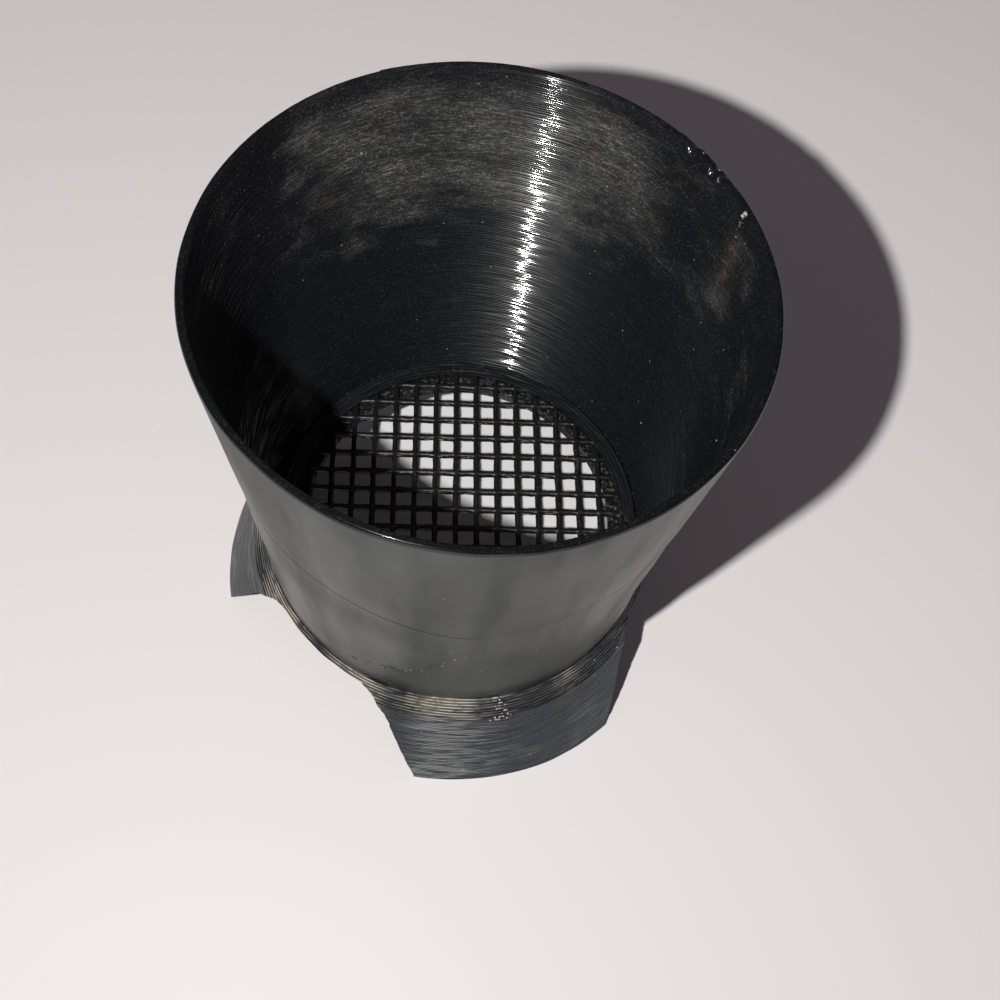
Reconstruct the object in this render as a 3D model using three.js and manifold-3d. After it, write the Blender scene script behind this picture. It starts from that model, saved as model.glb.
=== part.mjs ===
// Seed starting pot: a tapered cup with a loose lattice floor, standing on a base with three feet.
// Millimetres, +Z up. The origin is on the pot's axis, on the surface that the feet stand on.

import * as THREE from 'three';
import { mergeVertices } from 'three/addons/utils/BufferGeometryUtils.js';
import Module from 'manifold-3d';

const wasm = await Module();
wasm.setup();

// Cup: a tapered wall, a ledge round the drain opening and a spigot that centres it on the base
const CUP_HEIGHT = 35.4;
const CUP_RIM_RADIUS = 20.2;
const CUP_FLARE = 3.4;
const CUP_WALL = 0.5;
const LEDGE_THICKNESS = 1.0;
const SEAT_LAND = 1.2;
const SPIGOT_WALL = 1.0;
const SPIGOT_DEPTH = 1.0;
const DRAIN_LIP = 0.9;

// Base: a flared skirt below a wider-spreading shoulder, cut into feet by arches, with a flat ring on
// top that the cup sits on
const BASE_HEIGHT = 9.8;
const SHOULDER_HEIGHT = 1.6;
const SHOULDER_SPREAD = 1.5;
const FOOT_SPREAD = 3.0;
const SEAT_MARGIN = 0.65;
const SEAT_THICKNESS = 1.2;
const SPIGOT_CLEARANCE = 0.2;
const SKIRT_WALL = 1.2;
const FOOT_COUNT = 3;
const FIRST_FOOT_DEGREES = -74;
const ARCH_HALF_WIDTH_AT_FLOOR = 12.5;
const ARCH_HALF_WIDTH_AT_TOP = 7.0;
const ARCH_CROWN = 0.5;
const ARCH_CORNER_REACH = 3.2;

// Floor: square lattice inside a solid rim, loose in the cup
const FLOOR_THICKNESS = 0.6;
const FLOOR_CLEARANCE = 0.2;
const FLOOR_RIM_WIDTH = 1.42;
const LATTICE_PITCH = 1.9;
const LATTICE_BAR = 0.45;
const LATTICE_SHIFT_X = -0.34;
const LATTICE_SHIFT_Y = 0.18;
const SMALLEST_HOLE_AREA = 0.25;

// Tape: two bands round the cup, the lower one lapped over the foot of the upper one
const TAPE_THICKNESS = 0.13;
const TAPE_GLUE = 0.03;
const TAPE_LAP = 2.9;
const TAPE_STEP = 0.5;
const TAPE_RIM_MARGIN = 0.15;
const TAPE_FOOT_MARGIN = 0.3;

// Fineness of the round faces, and how far a cutter runs past what it cuts
const ROUND_SEGMENTS = 72;
const CORNER_SEGMENTS = 6;
const OVERRUN = 1;

// Sizes that follow from the ones above
const CUP_FOOT_RADIUS = CUP_RIM_RADIUS - CUP_FLARE;
const CUP_LEAN = CUP_FLARE / CUP_HEIGHT;
const RIM_Z = BASE_HEIGHT + CUP_HEIGHT;
const LEDGE_Z = BASE_HEIGHT + LEDGE_THICKNESS;
const LEDGE_WALL_RADIUS = CUP_FOOT_RADIUS + CUP_LEAN * LEDGE_THICKNESS - CUP_WALL;
const SPIGOT_RADIUS = CUP_FOOT_RADIUS - SEAT_LAND;
const SPIGOT_BORE = SPIGOT_RADIUS - SPIGOT_WALL;
const DRAIN_RADIUS = SPIGOT_BORE - DRAIN_LIP;
const SEAT_RADIUS = CUP_FOOT_RADIUS + SEAT_MARGIN;
const BASE_BORE = SPIGOT_RADIUS + SPIGOT_CLEARANCE;
const SHOULDER_RADIUS = SEAT_RADIUS + SHOULDER_SPREAD;
const FOOT_CIRCLE_RADIUS = SHOULDER_RADIUS + FOOT_SPREAD;
const FLOOR_RADIUS = LEDGE_WALL_RADIUS - FLOOR_CLEARANCE;
const WALL_SLANT = Math.hypot(CUP_HEIGHT, CUP_FLARE);
const TAPE_WIDTH = (WALL_SLANT - TAPE_RIM_MARGIN - TAPE_FOOT_MARGIN + TAPE_LAP) / 2;

// Leaves only merged positions, so that neighbouring triangles share their corners
function closedMesh(geometry) {
  geometry.deleteAttribute('normal');
  geometry.deleteAttribute('uv');
  return mergeVertices(geometry);
}

function toSolid(geometry) {
  const merged = closedMesh(geometry);
  return new wasm.Manifold(new wasm.Mesh({
    numProp: 3,
    vertProperties: new Float32Array(merged.attributes.position.array),
    triVerts: new Uint32Array(merged.index.array),
  }));
}

function toGeometry(solid) {
  const mesh = solid.getMesh();
  const geometry = new THREE.BufferGeometry();
  geometry.setAttribute('position', new THREE.BufferAttribute(mesh.vertProperties, 3));
  geometry.setIndex(new THREE.BufferAttribute(mesh.triVerts, 1));
  return geometry;
}

// Turns a closed outline of [radius, height] corners about the pot's axis
function revolve(outline) {
  const points = [...outline, outline[0]].map(([radius, height]) => new THREE.Vector2(radius, height));
  const geometry = new THREE.LatheGeometry(points, ROUND_SEGMENTS);
  geometry.rotateX(Math.PI / 2);
  return closedMesh(geometry);
}

// One arch between two feet: straight leaning sides and a flat top with rounded corners
function archCutter(degrees) {
  const top = BASE_HEIGHT - ARCH_CROWN;
  const lean = (ARCH_HALF_WIDTH_AT_FLOOR - ARCH_HALF_WIDTH_AT_TOP) / top;
  const sideStep = ARCH_CORNER_REACH / Math.hypot(1, lean);
  const below = ARCH_HALF_WIDTH_AT_FLOOR + lean * OVERRUN;
  const cornerSide = ARCH_HALF_WIDTH_AT_TOP + lean * sideStep;
  const cornerTop = ARCH_HALF_WIDTH_AT_TOP - ARCH_CORNER_REACH;

  const outline = new THREE.Shape();
  outline.moveTo(-below, -OVERRUN);
  outline.lineTo(below, -OVERRUN);
  outline.lineTo(cornerSide, top - sideStep);
  outline.quadraticCurveTo(ARCH_HALF_WIDTH_AT_TOP, top, cornerTop, top);
  outline.lineTo(-cornerTop, top);
  outline.quadraticCurveTo(-ARCH_HALF_WIDTH_AT_TOP, top, -cornerSide, top - sideStep);

  const cutter = new THREE.ExtrudeGeometry(outline, {
    depth: FOOT_CIRCLE_RADIUS + OVERRUN,
    bevelEnabled: false,
    curveSegments: CORNER_SEGMENTS,
  });
  cutter.rotateX(Math.PI / 2);
  cutter.rotateZ(THREE.MathUtils.degToRad(degrees + 90));
  return toSolid(cutter);
}

// Outside radius of the skirt, this far below its top
function skirtRadius(below) {
  if (below < SHOULDER_HEIGHT) {
    return SEAT_RADIUS + SHOULDER_SPREAD * below / SHOULDER_HEIGHT;
  }
  return SHOULDER_RADIUS + FOOT_SPREAD * (below - SHOULDER_HEIGHT) / (BASE_HEIGHT - SHOULDER_HEIGHT);
}

function footedBase() {
  const ringUnderside = BASE_HEIGHT - SEAT_THICKNESS;
  let solid = toSolid(revolve([
    [BASE_BORE, ringUnderside],
    [skirtRadius(SEAT_THICKNESS) - SKIRT_WALL, ringUnderside],
    [FOOT_CIRCLE_RADIUS - SKIRT_WALL, 0],
    [FOOT_CIRCLE_RADIUS, 0],
    [SHOULDER_RADIUS, BASE_HEIGHT - SHOULDER_HEIGHT],
    [SEAT_RADIUS, BASE_HEIGHT],
    [BASE_BORE, BASE_HEIGHT],
  ]));
  const footStep = 360 / FOOT_COUNT;
  for (let foot = 0; foot < FOOT_COUNT; foot++) {
    solid = solid.subtract(archCutter(FIRST_FOOT_DEGREES + footStep * (foot + 0.5)));
  }
  return toGeometry(solid);
}

function cup() {
  return revolve([
    [DRAIN_RADIUS, BASE_HEIGHT],
    [SPIGOT_BORE, BASE_HEIGHT],
    [SPIGOT_BORE, BASE_HEIGHT - SPIGOT_DEPTH],
    [SPIGOT_RADIUS, BASE_HEIGHT - SPIGOT_DEPTH],
    [SPIGOT_RADIUS, BASE_HEIGHT],
    [CUP_FOOT_RADIUS, BASE_HEIGHT],
    [CUP_RIM_RADIUS, RIM_Z],
    [CUP_RIM_RADIUS - CUP_WALL, RIM_Z],
    [LEDGE_WALL_RADIUS, LEDGE_Z],
    [DRAIN_RADIUS, LEDGE_Z],
  ]);
}

// The place between a and b where the straight line leaves the circle of this radius about the axis
function crossing(a, b, radius) {
  const run = b.clone().sub(a);
  const along = a.dot(run);
  const root = Math.sqrt(along * along - run.lengthSq() * (a.lengthSq() - radius * radius));
  const share = a.length() < radius ? (root - along) / run.lengthSq() : (-root - along) / run.lengthSq();
  return a.clone().addScaledVector(run, share);
}

// Corners of one square hole of the lattice, cut back to the inside of the floor's rim
function latticeHole(x, y, inside) {
  const half = (LATTICE_PITCH - LATTICE_BAR) / 2;
  const corners = [[-half, -half], [half, -half], [half, half], [-half, half]];
  const square = corners.map(([dx, dy]) => new THREE.Vector2(x + dx, y + dy));
  const hole = [];
  square.forEach((corner, index) => {
    const next = square[(index + 1) % square.length];
    const kept = corner.length() < inside;
    if (kept) {
      hole.push(corner);
    }
    if (kept !== next.length() < inside) {
      hole.push(crossing(corner, next, inside));
    }
  });
  return hole;
}

// A solid that cuts one outline right through the floor's disc
function holeCutter(outline) {
  const cutter = new THREE.ExtrudeGeometry(new THREE.Shape(outline), {
    depth: FLOOR_THICKNESS + 2 * OVERRUN,
    bevelEnabled: false,
  });
  cutter.translate(0, 0, LEDGE_Z - OVERRUN);
  return toSolid(cutter);
}

function meshFloor() {
  const inside = FLOOR_RADIUS - FLOOR_RIM_WIDTH;
  const reach = Math.ceil(inside / LATTICE_PITCH);
  let solid = toSolid(revolve([
    [0, LEDGE_Z],
    [FLOOR_RADIUS, LEDGE_Z],
    [FLOOR_RADIUS, LEDGE_Z + FLOOR_THICKNESS],
    [0, LEDGE_Z + FLOOR_THICKNESS],
  ]));
  for (let column = -reach; column <= reach; column++) {
    for (let row = -reach; row <= reach; row++) {
      const x = LATTICE_SHIFT_X + (column + 0.5) * LATTICE_PITCH;
      const y = LATTICE_SHIFT_Y + (row + 0.5) * LATTICE_PITCH;
      const hole = latticeHole(x, y, inside);
      if (hole.length > 2 && THREE.ShapeUtils.area(hole) > SMALLEST_HOLE_AREA) {
        solid = solid.subtract(holeCutter(hole));
      }
    }
  }
  return toGeometry(solid);
}

// A point on the cup's outside: how far up the slanting wall, and how far off it
function onWall(up, off) {
  const across = CUP_FLARE / WALL_SLANT;
  const rise = CUP_HEIGHT / WALL_SLANT;
  return [CUP_FOOT_RADIUS + up * across + off * rise, BASE_HEIGHT + up * rise - off * across];
}

function upperTape() {
  const top = WALL_SLANT - TAPE_RIM_MARGIN;
  const bottom = top - TAPE_WIDTH;
  const outside = TAPE_GLUE + TAPE_THICKNESS;
  return revolve([
    onWall(bottom, TAPE_GLUE),
    onWall(bottom, outside),
    onWall(top, outside),
    onWall(top, TAPE_GLUE),
  ]);
}

function lowerTape() {
  const bottom = TAPE_FOOT_MARGIN;
  const top = bottom + TAPE_WIDTH;
  const lapStart = top - TAPE_LAP - TAPE_GLUE;
  const lapped = TAPE_GLUE + TAPE_THICKNESS + TAPE_GLUE;
  return revolve([
    onWall(bottom, TAPE_GLUE),
    onWall(bottom, TAPE_GLUE + TAPE_THICKNESS),
    onWall(lapStart - TAPE_STEP, TAPE_GLUE + TAPE_THICKNESS),
    onWall(lapStart, lapped + TAPE_THICKNESS),
    onWall(top, lapped + TAPE_THICKNESS),
    onWall(top, lapped),
    onWall(lapStart, lapped),
    onWall(lapStart - TAPE_STEP, TAPE_GLUE),
  ]);
}

const printedBlack = { color: 0x17181a, roughness: 0.5, metalness: 0 };
const latticeBlack = { color: 0x141415, roughness: 0.55, metalness: 0 };
const vinylBlack = { color: 0x1b1c1e, roughness: 0.35, metalness: 0 };

const pot = new THREE.Group();

function addPiece(name, geometry, finish) {
  const mesh = new THREE.Mesh(geometry, new THREE.MeshStandardMaterial(finish));
  mesh.name = name;
  pot.add(mesh);
}

addPiece('footed_base', footedBase(), printedBlack);
addPiece('cup', cup(), printedBlack);
addPiece('mesh_floor', meshFloor(), latticeBlack);
addPiece('lower_tape', lowerTape(), vinylBlack);
addPiece('upper_tape', upperTape(), vinylBlack);

export default pot;
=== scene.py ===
"""Looks of a small seed starting pot: a printed cup in two bands of tape, with a loose lattice floor, on a
printed base with three feet.

Every surface is worked out with numpy on a grid, in metres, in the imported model's frame: the pot's axis is
+Z, the feet stand on Z = 0, and angles run round the axis from +X towards +Y.
"""

import math

import bpy
import numpy as np
from mathutils import Matrix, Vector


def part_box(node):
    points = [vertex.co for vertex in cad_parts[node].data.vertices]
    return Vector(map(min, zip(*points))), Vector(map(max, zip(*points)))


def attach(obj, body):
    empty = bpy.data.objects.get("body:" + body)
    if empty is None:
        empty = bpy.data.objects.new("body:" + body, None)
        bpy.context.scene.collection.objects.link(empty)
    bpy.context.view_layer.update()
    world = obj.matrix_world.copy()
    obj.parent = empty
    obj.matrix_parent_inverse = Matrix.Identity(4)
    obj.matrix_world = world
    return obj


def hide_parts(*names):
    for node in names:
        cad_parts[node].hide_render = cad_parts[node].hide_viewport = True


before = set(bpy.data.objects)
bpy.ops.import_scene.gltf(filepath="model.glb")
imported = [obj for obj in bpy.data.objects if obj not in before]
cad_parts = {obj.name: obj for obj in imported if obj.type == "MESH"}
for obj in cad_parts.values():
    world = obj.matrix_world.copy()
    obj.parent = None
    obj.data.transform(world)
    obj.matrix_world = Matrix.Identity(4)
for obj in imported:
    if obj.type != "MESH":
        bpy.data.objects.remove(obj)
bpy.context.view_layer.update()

MM = 0.001
TURN = 2 * math.pi

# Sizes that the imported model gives
base_low, base_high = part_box("footed_base")
cup_low, cup_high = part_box("cup")
floor_low, floor_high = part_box("mesh_floor")
FOOT_RADIUS = -base_low.y
SEAT_Z = base_high.z
SPIGOT_Z = cup_low.z
RIM_Z = cup_high.z
RIM_RADIUS = cup_high.x
LEDGE_Z = floor_low.z
FLOOR_TOP_Z = floor_high.z
FLOOR_RADIUS = floor_high.x

# The print: its layers and the grooves between them
LAYER = 0.2 * MM
WALL_GROOVE = 0.105 * MM
SKIRT_GROOVE = 0.05 * MM

# Soil on a point runs from 0 to 1, and this much makes the point as pale as it gets, which on the cup's seam
# is a painted glint
WHITE_SOIL_AND_GLINT = 2.0

# The cup's own sizes and wear
CUP_FLARE = 3.4 * MM
CUP_WALL = 0.5 * MM
DRAIN_RADIUS = 13.7 * MM
SPIGOT_RADIUS = 15.6 * MM
SPIGOT_BORE = 14.6 * MM
CUP_COLUMNS = 126
RIM_DAMAGE_AT = math.radians(35)
RIM_DAMAGE_WIDTH = math.radians(9)
RIM_DAMAGE_DEPTH = 0.2 * MM
RIM_DAMAGE_REACH = 1.3 * MM
RIM_INSET = 0.02 * MM
RIM_ROUNDING = 0.08 * MM
RIM_GROOVE = 0.04 * MM
RIM_WAVE = 0.012 * MM
RIM_TATTER = 0.04 * MM
LEDGE_GROOVE = 0.04 * MM
LAYER_DRIFT = 0.004 * MM
LAYER_WOBBLE = 0.026 * MM
WOBBLE_WAVES = 20
WALL_SWAY = 0.008 * MM
WALL_SEAM_AT = math.radians(20.6)
WALL_SEAM_LAYERS = 22
# How many of the seam's topmost lumps are white, as painted glints
WALL_SEAM_GLINTS = 4
WALL_SEAM_TOP_SIZES = (0.2, 0.04, 0.17, 0.04, 0.05, 0.14, 0.16, 0.09)
WALL_SEAM_LEAN = 0.144
SMEAR_LEAN = 0.16
SMEAR_WIDTH = 0.045
SMEAR_SOIL = 0.3
RIM_CRUMBS = 9

# The base's own sizes and wear
SEAT_RADIUS = 17.45 * MM
SHOULDER_HEIGHT = 1.6 * MM
SHOULDER_SPREAD = 1.5 * MM
BASE_BORE = 15.8 * MM
RING_THICKNESS = 1.2 * MM
SKIRT_WALL = 1.2 * MM
FOOT_COUNT = 3
FIRST_FOOT = math.radians(-74)
ARCH_FOOT_HALF = 12.5 * MM
ARCH_TOP_HALF = 7.0 * MM
ARCH_CORNER = 3.2 * MM
ARCH_Z = SEAT_Z - 0.5 * MM
FOOT_COLUMNS = 84
ARCH_COLUMNS = 16
SKIRT_DEPTH_STEPS = 6
SKIRT_DRIFT = 0.008 * MM
SKIRT_WANDER = 0.012 * MM
SKIRT_SWELL = 0.03 * MM
SEAT_GROOVE = 0.05 * MM
ARCH_RAGGED_ABOVE = 6.4 * MM
ARCH_RAGGED = 0.03 * MM
ARCH_RAGGED_TOP = 0.07 * MM
SKIRT_SEAM_AT = math.radians(-78.4)
SKIRT_SEAM_LUMPS = 90

# Where residue clings to the base: middle and half width in degrees, and how much of it
RESIDUE_PATCHES = ((-178, 12, 0.55), (-150, 14, 0.9), (-120, 10, 1), (-94, 12, 1), (-58, 5, 0.5))
RESIDUE_ELSEWHERE = 0.2

# The lattice floor's own sizes and wear
FLOOR_RIM_WIDTH = 1.42 * MM
LATTICE_PITCH = 1.9 * MM
LATTICE_BAR = 0.45 * MM
LATTICE_SHIFT_X = -0.34 * MM
LATTICE_SHIFT_Y = 0.18 * MM
BAR_SINK = 0.09 * MM
BAR_WAVE = 0.02 * MM
BAR_BEND_X = 0.016 * MM
BAR_BEND_Y = 0.026 * MM
BAR_SWELL = 0.03 * MM
FLOOR_RIM_GROOVE = 0.05 * MM
FLOOR_RIM_DRIFT = 0.03 * MM
ROOT_COUNT = 80
ROOT_STEPS = 9
ROOT_REACH = 13.6 * MM
ROOT_WAVER = 0.05 * MM
ROOT_THICKNESS = 0.022 * MM

# The tape's own sizes and wear, with heights measured up the slanting wall from the cup's foot
TAPE_THICKNESS = 0.13 * MM
TAPE_GLUE = 0.03 * MM
TAPE_WIDTH = 19.0 * MM
TAPE_FOOT_MARGIN = 0.3 * MM
TAPE_RIM_MARGIN = 0.15 * MM
TAPE_WAVE = 0.009 * MM
TAPE_DENT = 0.0012 * MM
TAPE_WAVE_LIMIT = 0.02 * MM
LAP_GAP = 0.004 * MM
LAP_LEAD = 7 * MM
LOWER_START = math.radians(-200)
LOWER_END = math.radians(271.5)
LOWER_SLIP = 0.18 * MM
LOWER_CLIMB = 1.2 * MM
LAP_CLIMB = 3.3 * MM
FRONT_DIP = 2.3 * MM
FRONT_DIP_WIDTH = math.radians(19)
LOWER_FLARE = 0.5 * MM
LOWER_FLARE_HEIGHT = 10 * MM
CREASE_UP = 1.2 * MM
CREASE_DEPTH = 0.06 * MM
CREASE_WIDTH = 0.1 * MM
CREASE_WANDER = 0.1 * MM
CREASE_FADE = (-1.95, -1.8)
FOLD_AT = math.radians(-87.8)
FOLD_WIDTH = 0.3 * MM
FOLD_DEPTH = 0.08 * MM
BUBBLE_COUNT = 28
TEAR_BUBBLES = 8
BLISTER_AT = math.radians(261.8)
BLISTER_UP = 8.6 * MM
BLISTER_RADIUS = 0.6 * MM
BLISTER_WIDTH = 0.15 * MM
BLISTER_RISE = 0.09 * MM
GRAIN_COUNT = 16
EDGE_THINNING = 6 * MM
FOOT_THINNING = 2 * MM
TOP_ROUNDING = 0.35 * MM
UPPER_START = math.radians(100)
UPPER_END = math.radians(472)
UPPER_LAP = UPPER_END - UPPER_START - TURN

# Degrees between two faces from which their edge is sharp
PRINT_CORNER = 60
LATTICE_CORNER = 55
TAPE_CORNER = 40

# Camera, lamps, room and table
CAMERA_PLACE = (-4.788 * MM, -50.510 * MM, 109.691 * MM)
CAMERA_AZIMUTH = math.radians(9.36)
CAMERA_DOWN = math.radians(61.97)
CAMERA_ROLL = math.radians(9.81)
CAMERA_LENS = 43.62
CAMERA_SENSOR = 36
KEY_PLACE = (-26.05 * MM, -51.68 * MM, 110.55 * MM)
KEY_SOFTNESS = 1.2 * MM
KEY_POWER = 39.0
KEY_COLOUR = (1.0, 0.985, 0.97)
SKY_PLACE = (0.1, 0.2, 1.0)
SKY_WIDTH = 1.0
SKY_POWER = 0.25
WORLD_LEVEL = 0.063
WORLD_COLOUR = (1.0, 0.8, 0.95, 1)
TABLE_REACH = 3.0
TABLE_COLOUR = (0.8, 0.775, 0.765, 1)

CUP_FOOT_RADIUS = RIM_RADIUS - CUP_FLARE
CUP_HEIGHT = RIM_Z - SEAT_Z
WALL_SLANT = math.hypot(CUP_HEIGHT, CUP_FLARE)
WALL_RISE = CUP_HEIGHT / WALL_SLANT
WALL_LEAN = CUP_FLARE / WALL_SLANT
UPPER_FOOT = WALL_SLANT - TAPE_RIM_MARGIN - TAPE_WIDTH


class Skin:
    """A closed surface: its points, its four-sided faces, the groove each point lies in, 0 for none, and
    how much soil clings to it, where the highest values also paint in glints."""

    def __init__(self, points, faces, groove=None, soil=0.0):
        self.points = points
        self.faces = faces
        self.groove = np.zeros(len(points), int) if groove is None else groove
        self.soil = np.full(len(points), soil)


def joined(skins):
    """Several skins as one: point numbers move up by the points before, groove numbers by the grooves."""
    starts = np.cumsum([0] + [len(skin.points) for skin in skins])
    marks = np.cumsum([0] + [skin.groove.max() for skin in skins])
    points = [skin.points for skin in skins]
    faces = [skin.faces + start for skin, start in zip(skins, starts)]
    grooves = [np.where(skin.groove > 0, skin.groove + mark, 0) for skin, mark in zip(skins, marks)]
    whole = Skin(np.concatenate(points), np.concatenate(faces), np.concatenate(grooves))
    whole.soil = np.concatenate([skin.soil for skin in skins])
    return whole


def ease(value, low, high):
    """0 below low, 1 above high, and the cubic 3 t^2 - 2 t^3 of the share t between them."""
    share = np.clip((value - low) / (high - low), 0, 1)
    return share * share * (3 - 2 * share)


def ripple(angle, height, seed, waves, around, up):
    """Smooth noise of about one in size: a sum of cosines, each with its own whole number of waves round
    the axis, its own number of radians to the metre upwards and its own start."""
    draw = np.random.default_rng(seed)
    turns = draw.integers(2, around + 1, waves)
    rises = draw.uniform(-up, up, waves)
    starts = draw.uniform(0, TURN, waves)
    total = 0.0
    for turn, rise, start in zip(turns, rises, starts):
        total = total + np.cos(turn * angle + rise * height + start)
    return total * math.sqrt(2 / waves)


def spread_angles(count, place, width, extra):
    """Angles once round the axis, closer together near one place: equal steps of the running sum of
    1 + extra exp(-(distance / width)^2)."""
    fine = np.linspace(-math.pi, math.pi, 40 * count + 1)
    density = 1 + extra * np.exp(-((fine - place) / width) ** 2)
    total = np.cumsum(density) - density[0]
    return np.interp(np.arange(count) / count * total[-1], total, fine)


def quads(index):
    """The four corners of every cell in a grid of point numbers, along the row first and then across."""
    return np.stack([index[:-1, :-1], index[:-1, 1:], index[1:, 1:], index[1:, :-1]], -1).reshape(-1, 4)


def turned(radius, height, grooved, angles):
    """A closed outline carried round the axis: point (i, j) is radius[i, j] from the axis, at angle j and
    at height[i, j]. The outline runs up on the outside and down on the inside."""
    rows, columns = radius.shape
    points = np.stack([radius * np.cos(angles), radius * np.sin(angles), height], -1).reshape(-1, 3)
    index = np.pad(np.arange(rows * columns).reshape(rows, columns), ((0, 1), (0, 1)), mode="wrap")
    marks = np.where(grooved, np.arange(1, rows + 1), 0)
    return Skin(points, quads(index), np.repeat(marks, columns))


def slab(layers, keep, grooves=None, closed=False):
    """The closed solid between stacked grids of points, shaped (grid, row, column, 3). The first grid is
    its front and the last its back, in the cells where keep is true, and walls through all the grids stand
    wherever a kept cell ends. A closed slab goes on from its last column to its first."""
    depth, rows, columns = layers.shape[:3]
    index = np.arange(depth * rows * columns).reshape(depth, rows, columns)
    sides = np.pad(keep, ((1, 1), (0, 0)))
    if closed:
        index = np.concatenate([index, index[:, :, :1]], axis=2)
        sides = np.pad(sides, ((0, 0), (1, 1)), mode="wrap")
    else:
        sides = np.pad(sides, ((0, 0), (1, 1)))
    a = index[:, :-1, :-1]
    b = index[:, :-1, 1:]
    c = index[:, 1:, 1:]
    d = index[:, 1:, :-1]
    faces = [np.stack([a[0], b[0], c[0], d[0]], -1)[keep]]
    faces.append(np.stack([d[-1], c[-1], b[-1], a[-1]], -1)[keep])
    right, left = sides[1:-1, 2:], sides[1:-1, :-2]
    above, below = sides[2:, 1:-1], sides[:-2, 1:-1]
    for start, end, beside in ((c, b, right), (a, d, left), (d, c, above), (b, a, below)):
        bare = keep & ~beside
        for level in range(depth - 1):
            wall = [start[level], end[level], end[level + 1], start[level + 1]]
            faces.append(np.stack(wall, -1)[bare])
    used, numbered = np.unique(np.concatenate(faces), return_inverse=True)
    marks = None if grooves is None else grooves.reshape(-1)[used]
    return Skin(layers.reshape(-1, 3)[used], numbered.reshape(-1, 4), marks)


def lumps(places, sizes, soil=0.0):
    """Small round lumps: the 26 outer points of a three by three by three block, pushed out to a ball and
    stretched to each lump's three half sizes."""
    block = np.stack(np.meshgrid([-1, 0, 1], [-1, 0, 1], [-1, 0, 1], indexing="ij"), -1).reshape(27, 3)
    number = np.arange(27).reshape(3, 3, 3)
    sides = []
    for axis, turn in ((0, (0, 1)), (1, (1, 0)), (2, (0, 1))):
        for side in (0, 2):
            sheet = np.take(number, side, axis=axis).transpose(turn)
            cells = quads(sheet.T)
            sides.append(cells if side == 2 else cells[:, ::-1])
    faces = np.concatenate(sides)
    ball = block / np.maximum(np.linalg.norm(block, axis=1), 1)[:, None]
    points = (places[:, None, :] + sizes[:, None, :] * ball[None]).reshape(-1, 3)
    every = (faces[None] + 27 * np.arange(len(places))[:, None, None]).reshape(-1, 4)
    used, numbered = np.unique(every, return_inverse=True)
    skin = Skin(points[used], numbered.reshape(-1, 4))
    skin.soil = np.repeat(soil + 0 * sizes[:, 0], 27)[used]
    return skin


def threads(paths, thickness, soil):
    """Thin four-sided threads with closed ends that run along +X: each step of a path, shaped (thread,
    step, 3), carries a small upright square."""
    count, steps = paths.shape[:2]
    square = thickness * np.array([(0, 1, 0), (0, 0, 1), (0, -1, 0), (0, 0, -1)])
    points = paths[:, :, None, :] + square
    index = np.arange(steps * 4).reshape(steps, 4)
    sides = quads(np.concatenate([index, index[:, :1]], axis=1))
    faces = np.concatenate([sides, index[:1, ::-1], index[-1:]])
    every = (faces[None] + steps * 4 * np.arange(count)[:, None, None]).reshape(-1, 4)
    return Skin(points.reshape(-1, 3), every, None, soil)


def wall_radius(height):
    """Outside of the cup's straight leaning wall."""
    return CUP_FOOT_RADIUS + CUP_FLARE * (height - SEAT_Z) / CUP_HEIGHT


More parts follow.
